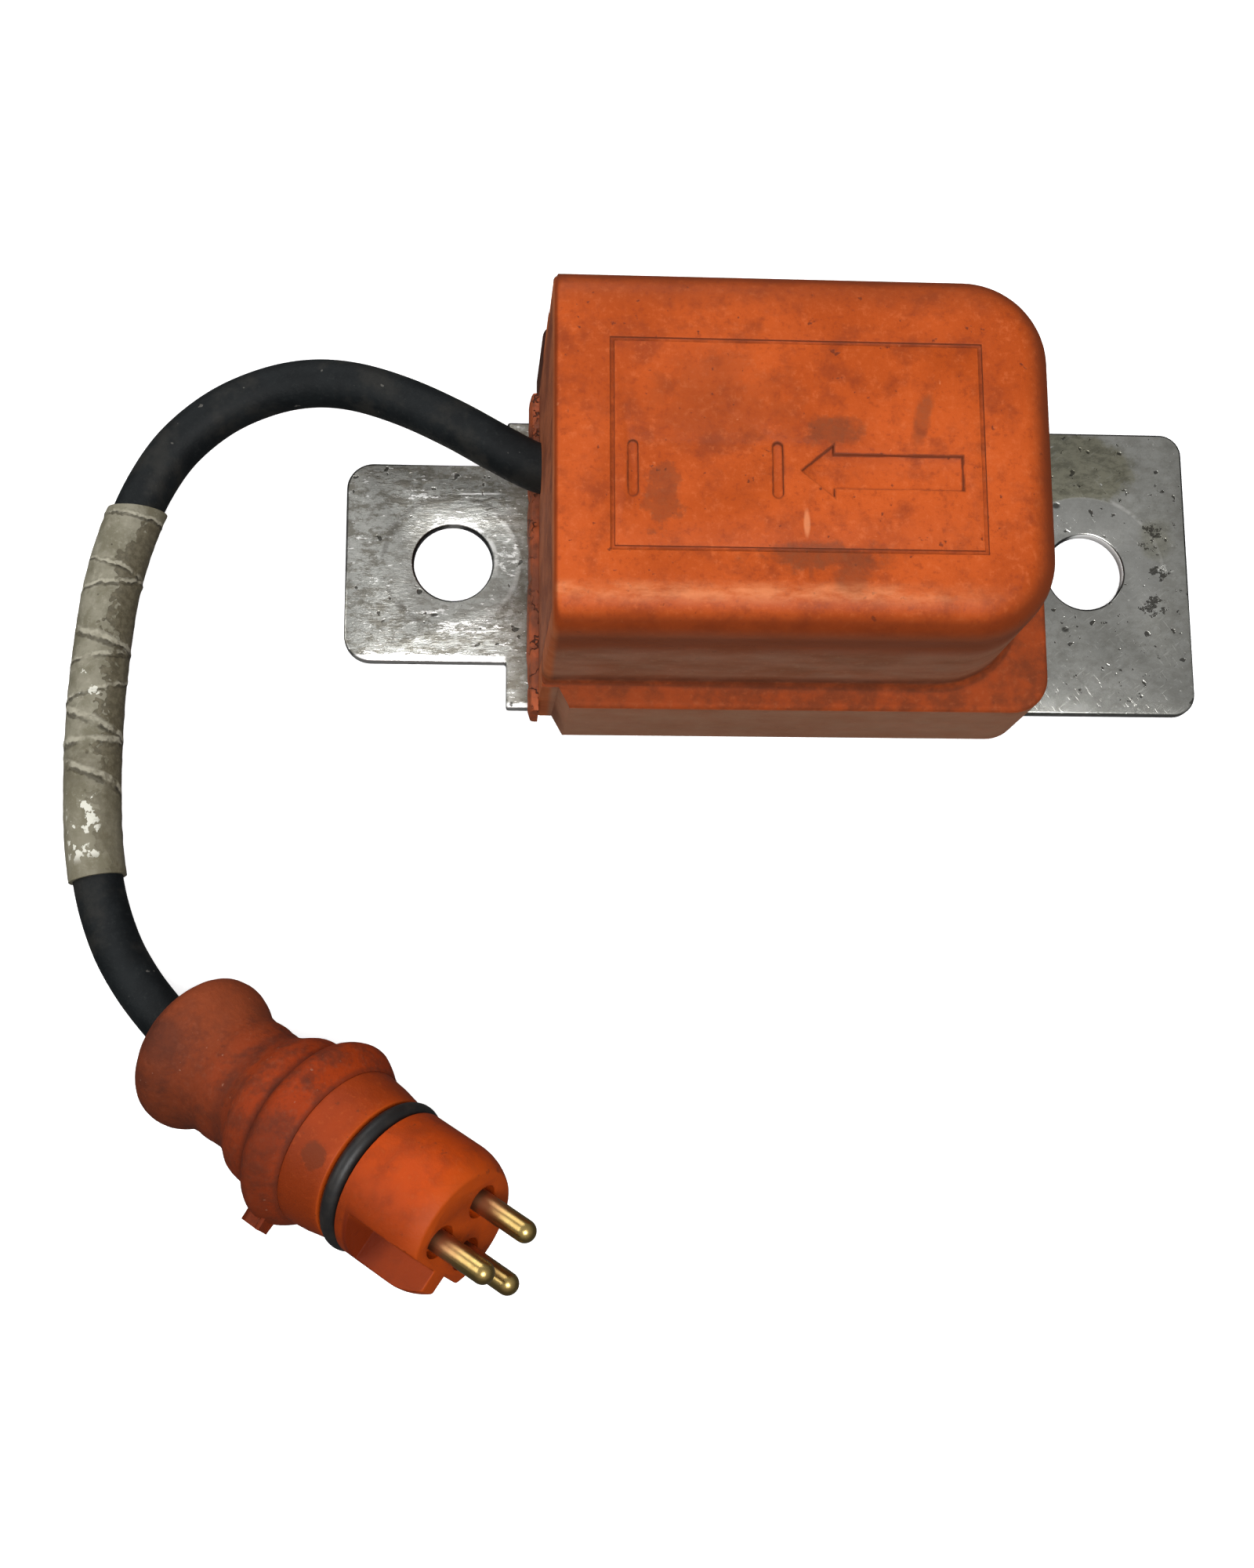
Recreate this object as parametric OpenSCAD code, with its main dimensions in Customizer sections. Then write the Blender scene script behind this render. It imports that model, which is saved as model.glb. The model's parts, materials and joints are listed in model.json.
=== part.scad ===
// Vehicle impact sensor on a flat mounting plate, with a short lead and a sealed round pin plug.
// Millimetres. The origin is midway between the two mounting holes, on the plate's underside.
// +X runs along the plate away from the lead, +Y to the back, +Z up.

/* [Mounting plate] */
// Length of the plate
plate_l = 96; // [92:1:100]
// Width of the plate under the cover and at the wide end
plate_w = 33.4; // [32:0.2:35]
// Width of the narrow tab at the lead end
tab_w = 23; // [20:1:26]
// Length of the narrow tab
tab_l = 18; // [17:0.5:19]
// Sheet thickness
plate_t = 1.5; // [1.2:0.1:1.6]
// Distance between the two mounting holes
hole_pitch = 72; // [70:1:74]
// Diameter of the mounting holes
hole_d = 8.8; // [8.4:0.2:9]

/* [Cover] */
// Left end of the cover, as a distance from the origin
cover_left = 25.8; // [25:0.2:26.4]
// How far the lead end's wall leans out at its foot
end_flare = 0.9; // [0.2:0.1:1.2]
// Right face of the upper body, as a distance from the origin
cover_right = 24.1; // [23:0.1:25]
// Front face of the upper body, as a distance from the origin
cover_front = 16.6; // [16.4:0.1:17]
// Back face of the upper body, as a distance from the origin
cover_back = 20.9; // [20:0.1:22]
// Height of the cover's top above the plate's underside
cover_h = 35; // [34:0.5:38]
// Wall thickness
wall = 2.6; // [2:0.1:3]
// How far the skirt stands out from the front and back walls
skirt_out = 2.8; // [2:0.1:3.2]
// How far the skirt stands out from the right wall
skirt_right = 3.8; // [3:0.1:4]
// Height of the skirt's ledge
skirt_h = 13.7; // [12.5:0.1:14.5]
// Corner radius of the upper body in plan
body_corner = 8.6; // [8:0.1:9]
// Corner radius of the skirt in plan
skirt_corner = 4; // [3.5:0.1:5]
// Rounding of the upper body's top edges
top_round = 3.9; // [3:0.1:4.2]
// Depth of the moulded marks
mark_depth = 0.5; // [0.3:0.1:0.8]

/* [Sensing capsule] */
// Height of the capsule's axis
axis_z = 17; // [16.5:0.5:18]
// Outer radius of the capsule
capsule_r = 11; // [10.8:0.1:11.2]
// Radius of the sensing ball
ball_r = 4.75; // [4.5:0.05:4.8]
// Bore radius of the ball's tube
bore_r = 4.85; // [4.83:0.01:4.9]
// Travel of the ball from the magnet to the contact blades
ball_travel = 7.2; // [6:0.1:7.2]

/* [Lead] */
// Diameter of the lead
lead_d = 5.3; // [5:0.1:5.4]
// Wall thickness of the tape wound round the lead
tape_t = 0.5; // [0.3:0.05:0.5]

/* [Plug] */
// Length of the plug from the boot's rear end to the pin face
plug_l = 39.5; // [39.3:0.1:39.8]
// Slope of the plug's axis
plug_tilt = 26.4; // [25:0.2:27]
// Heading of the plug's axis, turned down from +X
plug_turn = 33.9; // [33:0.1:35]
// Radius of the plug's nose
nose_r = 7.75; // [7.6:0.05:7.9]
// Diameter of the contact pins
pin_d = 2.3; // [2:0.1:2.4]
// Length of each pin ahead of the plug's face
pin_out = 6.5; // [5:0.1:7]
// Radius of the circle that the pins stand on
pin_circle = 3.4; // [3.3:0.1:3.6]

/* [Hidden] */
$fn = 64;

axis_y = (cover_back - cover_front) / 2;
half_pitch = hole_pitch / 2;
step_x = -plate_l / 2 + tab_l;
skirt_right_x = cover_right + skirt_right;
fit = 0.05;

// The lead's centre line, out of the end cap, over to the floor and up into the plug's boot.
lead_route = [
    [-20, 7.4, 9.7], [-23.5, 7.6, 9.7], [-27, 8.5, 9.6], [-31, 10.6, 9.4], [-36, 13.6, 8.8],
    [-41.5, 16.4, 8], [-47, 18.4, 7], [-52, 19, 6.1], [-57, 18.2, 5.2], [-62, 16, 4.4],
    [-66.4, 12.3, 3.8], [-69.4, 7.8, 3.4], [-71.6, 2.4, 3.2], [-73.2, -4, 3.2],
    [-74, -11, 3.2], [-74.4, -18, 3.2], [-74.4, -25, 3.2], [-74, -32, 3.2],
    [-73, -38, 3.2], [-71.2, -43.2, 3.3], [-68.9, -47.2, 3.8], [-66.2, -50.6, 4.8],
    [-63.3, -53.5, 6.4], [-60.4, -55.4, 8.1], [-57.6, -57.3, 9.8]
];
plug_at = [-63.3, -53.5, 6.4];
tape_from = 11.6;
tape_to = 17.7;
lead_sides = 12;

// A point on the smooth curve through the route, where u counts the route's points.
function bend(p, k, t) = let (a = p[max(k - 1, 0)], b = p[k], c = p[k + 1],
    d = p[min(k + 2, len(p) - 1)])
    (2 * b + (c - a) * t + (2 * a - 5 * b + 4 * c - d) * t * t
    + (3 * b - a - 3 * c + d) * t * t * t) / 2;
function on_route(u) = let (k = min(floor(u), len(lead_route) - 2))
    bend(lead_route, k, u - k);
function heading(u) = let (d = on_route(min(u + 0.05, len(lead_route) - 1))
    - on_route(max(u - 0.05, 0))) d / norm(d);
function lead_ring(u, r) = let (p = on_route(u), t = heading(u),
    s = cross(t, [0, 0, 1]) / norm(cross(t, [0, 0, 1])), v = cross(s, t))
    [for (i = [0 : lead_sides - 1]) let (a = 360 * i / lead_sides)
        p + r * cos(a) * s + r * sin(a) * v];

// A tube swept along the lead's route from u0 to u1.
module swept(u0, u1, steps, r) {
    rings = [for (j = [0 : steps]) lead_ring(u0 + (u1 - u0) * j / steps, r)];
    n = lead_sides;
    polyhedron(
        points = [for (ring = rings) for (p = ring) p],
        faces = concat(
            [[for (i = [n - 1 : -1 : 0]) i]],
            [[for (i = [0 : n - 1]) steps * n + i]],
            [for (j = [0 : steps - 1]) for (i = [0 : n - 1])
                [j * n + i, j * n + (i + 1) % n, (j + 1) * n + (i + 1) % n, (j + 1) * n + i]]
        ));
}

// A rectangle in plan with rounded right corners.
module right_rounded(x0, x1, y0, y1, r) {
    translate([x0, y0]) square([x1 - r - x0, y1 - y0]);
    translate([x0, y0 + r]) square([x1 - x0, y1 - y0 - 2 * r]);
    for (y = [y0 + r, y1 - r]) translate([x1 - r, y]) circle(r);
}

// A block with rounded right corners in plan and rounded top edges, cut off flat at the left.
module cap_block(x0, x1, y0, y1, z0, z1, rc, rt) {
    h = z1 - z0;
    translate([x0, 0, z0]) rotate([90, 0, 90]) linear_extrude(x1 - rc - x0) {
        translate([y0, 0]) square([y1 - y0, h - rt]);
        translate([y0 + rt, 0]) square([y1 - y0 - 2 * rt, h]);
        for (y = [y0 + rt, y1 - rt]) translate([y, h - rt]) circle(rt);
    }
    translate([0, y1 - rc, z0]) rotate([90, 0, 0]) linear_extrude(y1 - y0 - 2 * rc) {
        translate([x0, 0]) square([x1 - x0, h - rt]);
        translate([x0, 0]) square([x1 - rt - x0, h]);
        translate([x1 - rt, h - rt]) circle(rt);
    }
    for (y = [y0 + rc, y1 - rc]) translate([x1 - rc, y, z0]) rotate_extrude() {
        square([rc, h - rt]);
        square([rc - rt, h]);
        translate([rc - rt, h - rt]) circle(rt);
    }
}

// A cylinder along +X from x0 to x1, round the capsule's axis.
module along(x0, x1, r, dy = 0, dz = 0) {
    translate([x0, axis_y + dy, axis_z + dz]) rotate([0, 90, 0]) cylinder(h = x1 - x0, r = r);
}

// Everything on the plug is drawn along +Z from the boot's rear end, with +X as its top side.
module on_plug() {
    translate(plug_at) rotate([0, -plug_tilt, -plug_turn]) rotate([0, 90, 0])
        rotate([0, 0, 180]) children();
}

// A disc with both rims rounded, from z0 to z1.
module soft_disc(z0, z1, r, rr) {
    translate([0, 0, z0]) rotate_extrude() {
        square([r - rr, z1 - z0]);
        translate([0, rr]) square([r, z1 - z0 - 2 * rr]);
        for (z = [rr, z1 - z0 - rr]) translate([r - rr, z]) circle(rr);
    }
}

// Places of the three pins on the plug's face.
pin_angles = [-87, 33, 153];
module at_pin(k) {
    rotate([0, 0, pin_angles[k]]) translate([pin_circle, 0, 0]) children();
}

module mounting_plate() {
    color("silver") difference() {
        union() {
            linear_extrude(plate_t) right_rounded(step_x, plate_l / 2, -plate_w / 2, plate_w / 2, 2.5);
            linear_extrude(plate_t) mirror([1, 0])
                right_rounded(-step_x - 1, plate_l / 2, -tab_w / 2, tab_w / 2, 3);
        }
        for (x = [-half_pitch, half_pitch])
            translate([x, 0, -1]) cylinder(h = plate_t + 2, d = hole_d);
        for (x = [-8, 12]) translate([x, axis_y, 0]) {
            translate([0, 0, -1]) cylinder(h = plate_t + 2, r = 1.6);
            translate([0, 0, -0.01]) cylinder(h = 1.31, r1 = 2.9, r2 = 1.6);
        }
    }
}

// Moves its children to the leaning plane of the lead end's wall, with X across the wall.
module on_end_plane(y = 0, out = 0) {
    translate([-cover_left - out, y, cover_h]) rotate([0, atan(end_flare / cover_h), 0]) children();
}

module cover() {
    ledge_x = -cover_left - end_flare * (1 - skirt_h / cover_h);
    color([0.80, 0.36, 0.18]) difference() {
        union() {
            cap_block(-cover_left - 2, cover_right, -cover_front, cover_back,
                0.3, cover_h, body_corner, top_round);
            difference() {
                cap_block(-cover_left - 2, skirt_right_x, -cover_front - skirt_out,
                    cover_back + skirt_out, 0.3, skirt_h, skirt_corner, 0.7);
                // stepped corner at the front, plain chamfer at the back
                on_end_plane(-cover_front - skirt_out) linear_extrude(90, center = true)
                    polygon([[-3, -1], [3.5, -1], [1.75, 2.19], [-3, 2.19]]);
                on_end_plane(cover_back + skirt_out) rotate([0, 0, 45])
                    cube([1.5, 1.5, 90], center = true);
            }
        }
        on_end_plane() translate([-20, -50, -60]) cube([20, 100, 80]);
        // inner space, open at the left end and over the plate
        translate([0, 0, plate_t + fit]) linear_extrude(cover_h - wall - plate_t - fit)
            right_rounded(-cover_left - 5, cover_right - wall, -cover_front + wall,
                cover_back - wall, 6);
        // the way in for the plate
        translate([-40, -plate_w / 2 - fit, -1])
            cube([80, plate_w + 2 * fit, plate_t + fit + 1.01]);
        // rounded corner at the lead end's back
        translate([ledge_x - 0.01, cover_back - 2, skirt_h]) difference() {
            cube([2.01, 2.01, 30]);
            translate([2.01, 0, -1]) cylinder(h = 32, r = 2);
        }
        // marks in the top: a frame, two bars and an arrow
        translate([0, 0, cover_h - 0.3]) linear_extrude(1) difference() {
            translate([-20.3, axis_y - 10.9]) square([37, 21.8]);
            translate([-19.9, axis_y - 10.5]) square([36.2, 21]);
        }
        translate([0, 0, cover_h - mark_depth]) linear_extrude(1) {
            for (x = [-18.1, -3.9]) {
                for (y = [-2.8, 1.9]) translate([x, y]) circle(0.5);
                translate([x - 0.5, -2.8]) square([1, 4.7]);
            }
            translate([0, -0.45]) polygon([[-1.6, 0], [1.6, 2.65], [1.6, 1.75], [14.4, 1.75],
                [14.4, -1.75], [1.6, -1.75], [1.6, -2.65]]);
        }
    }
}

module end_cap() {
    color([0.45, 0.27, 0.17]) difference() {
        translate([-cover_left - 2, -cover_front + wall + fit, plate_t + 2 * fit])
            cube([3.9, cover_back + cover_front - 2 * wall - 2 * fit,
                cover_h - wall - plate_t - 3 * fit]);
        on_end_plane() translate([-20, -50, -60]) cube([20, 100, 80]);
        translate([-40, 8.1, 9.65]) rotate([0, 90, 0]) cylinder(h = 30, d = lead_d);
    }
}

module end_seal() {
    color([0.55, 0.27, 0.13]) difference() {
        translate([-cover_left - end_flare - 1.1, -18.2, plate_t])
            cube([end_flare + 1.1, 36.4, 6]);
        on_end_plane(out = 0.02) translate([0, -50, -60]) cube([20, 100, 80]);
        translate([-40, 8.3, 9.62]) rotate([0, 90, 0]) cylinder(h = 30, d = lead_d);
    }
}

module potting_layer() {
    color([0.16, 0.15, 0.14]) difference() {
        translate([-23.4, -13.4, plate_t + 0.1]) cube([41.2, 30.8, 2.6]);
        translate([-12.7, axis_y - 11.3, 0]) cube([30.4, 22.6, 10]);
    }
}

module sensor_cradle() {
    color([0.20, 0.20, 0.21]) difference() {
        translate([-12.5, axis_y - 11.2, plate_t]) cube([30, 22.4, 9.5]);
        along(-20, 30, capsule_r + fit);
        for (x = [-8, 12]) translate([x, axis_y, 0]) cylinder(h = 12, r = 1.3);
    }
}

module body_screw(x) {
    color("lightgrey") translate([x, axis_y, 0]) difference() {
        union() {
            translate([0, 0, 0.05]) cylinder(h = 1.25, r1 = 2.75, r2 = 1.5);
            translate([0, 0, 1.25]) cylinder(h = 4.15, r = 1.25);
        }
        for (a = [0, 90]) rotate([0, 0, a]) translate([-1.4, -0.3, 0]) cube([2.8, 0.6, 0.7]);
    }
}

module capsule_housing() {
    color([0.83, 0.80, 0.72]) difference() {
        along(-13, 18, capsule_r);
        along(-14, 16.2, 9.2);
    }
}

module magnet_holder() {
    color([0.12, 0.12, 0.13]) difference() {
        along(10.5, 16.15, 9.15);
        along(12.1, 17, 5.05);
        along(10, 13, 3);
    }
}

module bias_magnet() {
    color([0.35, 0.35, 0.37]) along(12.15, 16.15, 5);
}

module ball_tube() {
    color([0.72, 0.72, 0.70]) difference() {
        union() {
            along(-5.5, 10.45, 6.2);
            along(8.9, 10.45, 9.15);
        }
        along(-7, 12, bore_r);
    }
}

module tube_sleeve() {
    color([0.75, 0.70, 0.55]) difference() {
        along(-4.3, 8.85, 9.15);
        along(-6, 10, 6.25);
    }
}

module sensing_ball() {
    color([0.85, 0.68, 0.30]) translate([10.45 - ball_r, axis_y, axis_z]) sphere(ball_r);
}

module contact_blade(side) {
    color([0.88, 0.70, 0.30]) translate([-7.05, axis_y + 2.4 * side - 1, axis_z - 3.4]) {
        cube([0.25, 2, 10.6]);
        translate([0.125, 0, 10.6]) rotate([-90, 0, 0]) cylinder(h = 2, r = 0.3);
        translate([0.25, 1, 3.4]) rotate([0, 90, 0]) cylinder(h = 0.6, r = 0.7);
    }
}

module contact_carrier() {
    color([0.13, 0.14, 0.16]) difference() {
        union() {
            along(-12.95, -9.8, 9.15);
            intersection() {
                along(-10, -7.6, 9.15);
                translate([-11, axis_y - 5, axis_z + 5.5]) cube([10, 10, 5]);
            }
        }
        difference() {
            along(-12.1, -10.9, 12);
            along(-13, -10, 8.15);
        }
        for (s = [-1, 1]) along(-14, -6, 0.55, 2.4 * s, 6.6);
    }
}

module capsule_o_ring() {
    color([0.07, 0.07, 0.07]) translate([-11.5, axis_y, axis_z]) rotate([0, 90, 0])
        rotate_extrude() translate([8.66, 0]) circle(0.5, $fn = 32);
}

module terminal_pin(side) {
    color([0.85, 0.68, 0.30]) along(-17.8, -7.4, 0.5, 2.4 * side, 6.6);
}

module terminal_board() {
    color([0.10, 0.34, 0.20]) difference() {
        translate([-17, -7.5, 7]) cube([1.5, 19.5, 18]);
        for (s = [-1, 1]) along(-20, -10, 0.55, 2.4 * s, 6.6);
        for (y = [-1.6, 8.2]) translate([-20, y, 20.4]) rotate([0, 90, 0])
            cylinder(h = 8, r = 0.35, $fn = 24);
    }
}

module diagnostic_resistor() {
    color([0.30, 0.50, 0.66]) {
        translate([-18.6, 0.2, 20.4]) rotate([-90, 0, 0]) cylinder(h = 6.2, r = 1.15);
        for (y = [-1.6, 8.2]) translate([-18.9, y, 20.4]) rotate([0, 90, 0])
            cylinder(h = 3.9, r = 0.3, $fn = 24);
        translate([-18.6, -1.9, 20.4]) rotate([-90, 0, 0]) cylinder(h = 10.4, r = 0.3, $fn = 24);
    }
}

module core_wire(k) {
    color([[0.75, 0.12, 0.10], [0.12, 0.25, 0.65], [0.85, 0.75, 0.15]][k - 1])
        translate([-19.9, 7.4, 9.7]) rotate([120 * k, 0, 0]) translate([0, 0, 1.3])
        rotate([0, 90, 0]) cylinder(h = 2.85, r = 0.75, $fn = 32);
}

module cable_tie() {
    color([0.80, 0.79, 0.74]) difference() {
        translate([-22.9, 7.55, 9.7]) {
            rotate([0, 90, 0]) cylinder(h = 2, d = lead_d + 1.9);
            translate([-0.2, -1.6, 2.6]) cube([2.4, 3.2, 2.6]);
        }
        translate([-30, 7.55, 9.7]) rotate([0, 90, 0]) cylinder(h = 20, d = lead_d + 0.3);
    }
}

module lead_cable() {
    color([0.13, 0.14, 0.15]) swept(0, 24, 48, lead_d / 2);
}

module tape_sleeve() {
    color([0.56, 0.53, 0.46]) difference() {
        swept(tape_from, tape_to, 14, lead_d / 2 + tape_t);
        swept(tape_from - 0.1, tape_to + 0.1, 14, lead_d / 2 + 0.02);
    }
}

module plug_boot() {
    color([0.56, 0.27, 0.17]) on_plug() difference() {
        union() {
            cylinder(h = 2, r1 = 6.3, r2 = 8.1);
            translate([0, 0, 2]) cylinder(h = 2.3, r1 = 8.1, r2 = 8.3);
            translate([0, 0, 4.3]) cylinder(h = 2.3, r1 = 8.3, r2 = 7);
            cylinder(h = 20, r = 6.7);
            translate([0, 0, 12.6]) cylinder(h = 2.4, r1 = 6.7, r2 = 8);
            translate([0, 0, 15]) cylinder(h = 3.2, r1 = 8, r2 = 8.4);
            translate([0, 0, 18]) cylinder(h = 5, r = 8.4);
            soft_disc(17.7, 22.7, 10.05, 2.45);
            translate([-1.2, 9, 19.3]) cube([2.4, 2.2, 2.2]);
        }
        translate([0, 0, -1]) cylinder(h = 12, d = lead_d);
        translate([0, 0, 10]) cylinder(h = 14, r = 5.65);
    }
}

module plug_body() {
    color([0.78, 0.28, 0.10]) on_plug() difference() {
        union() {
            translate([0, 0, 10.5]) cylinder(h = 13, r = 5.6);
            translate([0, 0, 23]) cylinder(h = 2.2, r1 = 8.5, r2 = 8.25);
            translate([0, 0, 25.2]) cylinder(h = 2.5, r1 = 8.25, r2 = 7.75);
            translate([0, 0, 27]) cylinder(h = 4, r = 6.15);
            translate([0, 0, 30]) rotate_extrude() intersection() {
                square([nose_r, plug_l - 30]);
                union() {
                    square([nose_r, 6]);
                    translate([nose_r - 5.8, 6]) circle(5.8);
                    square([nose_r - 5.8, 20]);
                }
            }
        }
        // a flat cut down the lead's side that leaves a keying rib standing
        translate([0.4, 4.4, 31.6]) cube([9, 6, 12]);
        translate([-9.95, 4.4, 31.6]) cube([8, 6, 12]);
        for (k = [0 : 2]) at_pin(k) {
            translate([0, 0, 10]) cylinder(h = 40, d = pin_d + 0.1);
            translate([0, 0, plug_l - 1.2]) cylinder(h = 3, r = 1.75);
            translate([0, 0, 10]) cylinder(h = 7.4, r = 1.6);
        }
    }
}

module plug_o_ring() {
    color([0.06, 0.06, 0.06]) on_plug() translate([0, 0, 28.85]) rotate_extrude()
        translate([7.17, 0]) circle(0.93, $fn = 32);
}

module contact_pin(k) {
    color([0.85, 0.68, 0.30]) on_plug() at_pin(k - 1) {
        difference() {
            translate([0, 0, 12.2]) cylinder(h = 5, r = 1.5);
            translate([0, 0, 11]) cylinder(h = 4.4, r = 1);
        }
        translate([0, 0, 17]) cylinder(h = plug_l + pin_out - pin_d / 2 - 17, d = pin_d);
        translate([0, 0, plug_l + pin_out - pin_d / 2]) sphere(pin_d / 2);
    }
}

module plug_wire(k) {
    color([[0.75, 0.12, 0.10], [0.12, 0.25, 0.65], [0.85, 0.75, 0.15]][k - 1])
        on_plug() at_pin(k - 1) translate([0, 0, 10.3]) cylinder(h = 5, r = 0.9, $fn = 32);
}

mounting_plate();
cover();
end_cap();
end_seal();
potting_layer();
sensor_cradle();
body_screw(-8);  // body_screw_1
body_screw(12);  // body_screw_2
capsule_housing();
magnet_holder();
bias_magnet();
ball_tube();
tube_sleeve();
sensing_ball();
contact_blade(-1);  // contact_blade_1
contact_blade(1);  // contact_blade_2
contact_carrier();
capsule_o_ring();
terminal_pin(-1);  // terminal_pin_1
terminal_pin(1);  // terminal_pin_2
terminal_board();
diagnostic_resistor();
core_wire(1);  // core_wire_1
core_wire(2);  // core_wire_2
core_wire(3);  // core_wire_3
cable_tie();
lead_cable();
tape_sleeve();
plug_boot();
plug_body();
plug_o_ring();
contact_pin(1);  // contact_pin_1
contact_pin(2);  // contact_pin_2
contact_pin(3);  // contact_pin_3
plug_wire(1);  // plug_wire_1
plug_wire(2);  // plug_wire_2
plug_wire(3);  // plug_wire_3
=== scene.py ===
# Vehicle impact sensor: orange cover on a flat steel plate, a short lead and a sealed round pin plug.
# Metres, in the CAD frame: +X along the plate, +Y to the back, +Z up, floor at z = 0.
import json
import math
import bmesh
import bpy
from mathutils import Matrix, Vector, noise


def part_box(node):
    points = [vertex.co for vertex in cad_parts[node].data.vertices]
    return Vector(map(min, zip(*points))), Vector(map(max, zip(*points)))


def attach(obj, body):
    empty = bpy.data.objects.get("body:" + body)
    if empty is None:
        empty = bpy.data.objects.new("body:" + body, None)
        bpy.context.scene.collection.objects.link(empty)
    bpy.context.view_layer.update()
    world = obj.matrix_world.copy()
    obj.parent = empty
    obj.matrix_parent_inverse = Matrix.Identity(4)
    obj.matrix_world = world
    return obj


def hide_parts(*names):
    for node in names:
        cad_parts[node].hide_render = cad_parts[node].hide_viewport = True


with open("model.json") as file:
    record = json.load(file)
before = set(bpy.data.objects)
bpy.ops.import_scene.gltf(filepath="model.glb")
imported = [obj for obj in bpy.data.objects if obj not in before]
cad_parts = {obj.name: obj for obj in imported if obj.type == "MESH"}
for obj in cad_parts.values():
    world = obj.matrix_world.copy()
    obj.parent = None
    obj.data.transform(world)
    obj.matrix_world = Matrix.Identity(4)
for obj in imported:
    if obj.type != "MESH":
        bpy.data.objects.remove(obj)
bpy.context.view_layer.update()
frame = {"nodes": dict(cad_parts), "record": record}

MM = 0.001
scene = bpy.context.scene
nodes = frame["nodes"]


def spline(points, k, t):
    """A point on the smooth curve through points, a share t of the way from point k to the next one."""
    a, b, c, d = (points[min(max(k + i, 0), len(points) - 1)] for i in (-1, 0, 1, 2))
    return 0.5 * (2 * b + (c - a) * t + (2 * a - 5 * b + 4 * c - d) * t * t
                  + (3 * b - a - 3 * c + d) * t * t * t)


# ---------------------------------------------------------------- camera
CAMERA_AT = (-0.03202, -0.07069, 0.23036)
CAMERA_FORWARD = (0.06597, 0.19479, -0.97862)
CAMERA_UP = (-0.00825, 0.98083, 0.19467)


def camera():
    """Looks down on the sensor from above its front left, 23 cm over the floor."""
    cam = bpy.data.objects.new("camera", bpy.data.cameras.new("camera"))
    cam.data.lens = 48.67
    cam.data.sensor_width = 36
    cam.data.clip_start = 0.01
    forward = Vector(CAMERA_FORWARD).normalized()
    right = forward.cross(Vector(CAMERA_UP)).normalized()
    up = right.cross(forward)
    turn = Matrix((right, up, -forward)).transposed().to_4x4()
    cam.matrix_world = Matrix.Translation(CAMERA_AT) @ turn
    scene.collection.objects.link(cam)
    scene.camera = cam


camera()

# ---------------------------------------------------------------- the lead
LEAD_D = 5.3 * MM
LEAD_STEPS, LEAD_SIDES = 240, 40
# The lead's centre line from inside the end cap to inside the boot, in millimetres as in the CAD.
LEAD_ROUTE = [
    (-20, 7.4, 9.7), (-23.5, 7.6, 9.7), (-27, 8.5, 9.6), (-31, 10.6, 9.4), (-36, 13.6, 8.8),
    (-41.5, 16.4, 8), (-47, 18.4, 7), (-52, 19, 6.1), (-57, 18.2, 5.2), (-62, 16, 4.4),
    (-66.4, 12.3, 3.8), (-69.4, 7.8, 3.4), (-71.6, 2.4, 3.2), (-73.2, -4, 3.2), (-74, -11, 3.2),
    (-74.4, -18, 3.2), (-74.4, -25, 3.2), (-74, -32, 3.2), (-73, -38, 3.2), (-71.2, -43.2, 3.3),
    (-68.9, -47.2, 3.8), (-66.2, -50.6, 4.8), (-63.3, -53.5, 6.4), (-60.4, -55.4, 8.1),
    (-57.6, -57.3, 9.8),
]
ROUTE = [Vector(p) * MM for p in LEAD_ROUTE]


def on_route(u):
    """A point on the smooth curve through the route, where u counts the route's points."""
    k = min(int(u), len(ROUTE) - 2)
    return spline(ROUTE, k, u - k)


def route_points(u0, u1, n):
    return [on_route(u0 + (u1 - u0) * i / n) for i in range(n + 1)]


def path_length(points):
    return sum((b - a).length for a, b in zip(points, points[1:]))


def mesh_piece(name, verts, faces):
    mesh = bpy.data.meshes.new(name)
    mesh.from_pydata([tuple(v) for v in verts], [], faces)
    mesh.validate()
    mesh.polygons.foreach_set("use_smooth", [True] * len(mesh.polygons))
    piece = bpy.data.objects.new(name, mesh)
    scene.collection.objects.link(piece)
    return piece


def stands_for(piece, node):
    """Makes a piece ride on the housing in place of a CAD node, which it hides."""
    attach(piece, "housing")
    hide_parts(node)


def grid_faces(rows, cols, caps=True):
    """Quads of a tube whose rows are closed rings, with its two ends filled."""
    faces = [(j * cols + i, j * cols + (i + 1) % cols, (j + 1) * cols + (i + 1) % cols, (j + 1) * cols + i)
             for j in range(rows - 1) for i in range(cols)]
    if caps:
        faces += [tuple(range(cols))[::-1], tuple((rows - 1) * cols + i for i in range(cols))]
    return faces


def tube_points(points, radius, sides):
    """Rings round points. radius is a function of (share of the length, angle)."""
    total, run, verts = path_length(points), 0.0, []
    for j, p in enumerate(points):
        if j:
            run += (p - points[j - 1]).length
        t = (points[min(j + 1, len(points) - 1)] - points[max(j - 1, 0)]).normalized()
        side = t.cross(Vector((0, 0, 1))).normalized()
        top = side.cross(t)
        for i in range(sides):
            a = 2 * math.pi * i / sides
            verts.append(p + radius(run / total, a) * (math.cos(a) * side + math.sin(a) * top))
    return verts


def lead():
    """The whole lead, from the cable tie inside the cover to the inside of the plug's boot."""
    points = route_points(0, len(ROUTE) - 1, LEAD_STEPS)
    rings = tube_points(points, lambda s, a: LEAD_D / 2, LEAD_SIDES)
    piece = mesh_piece("lead", rings, grid_faces(len(points), LEAD_SIDES))
    stands_for(piece, "lead_cable")
    return piece, points


lead_piece, lead_points = lead()


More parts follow.
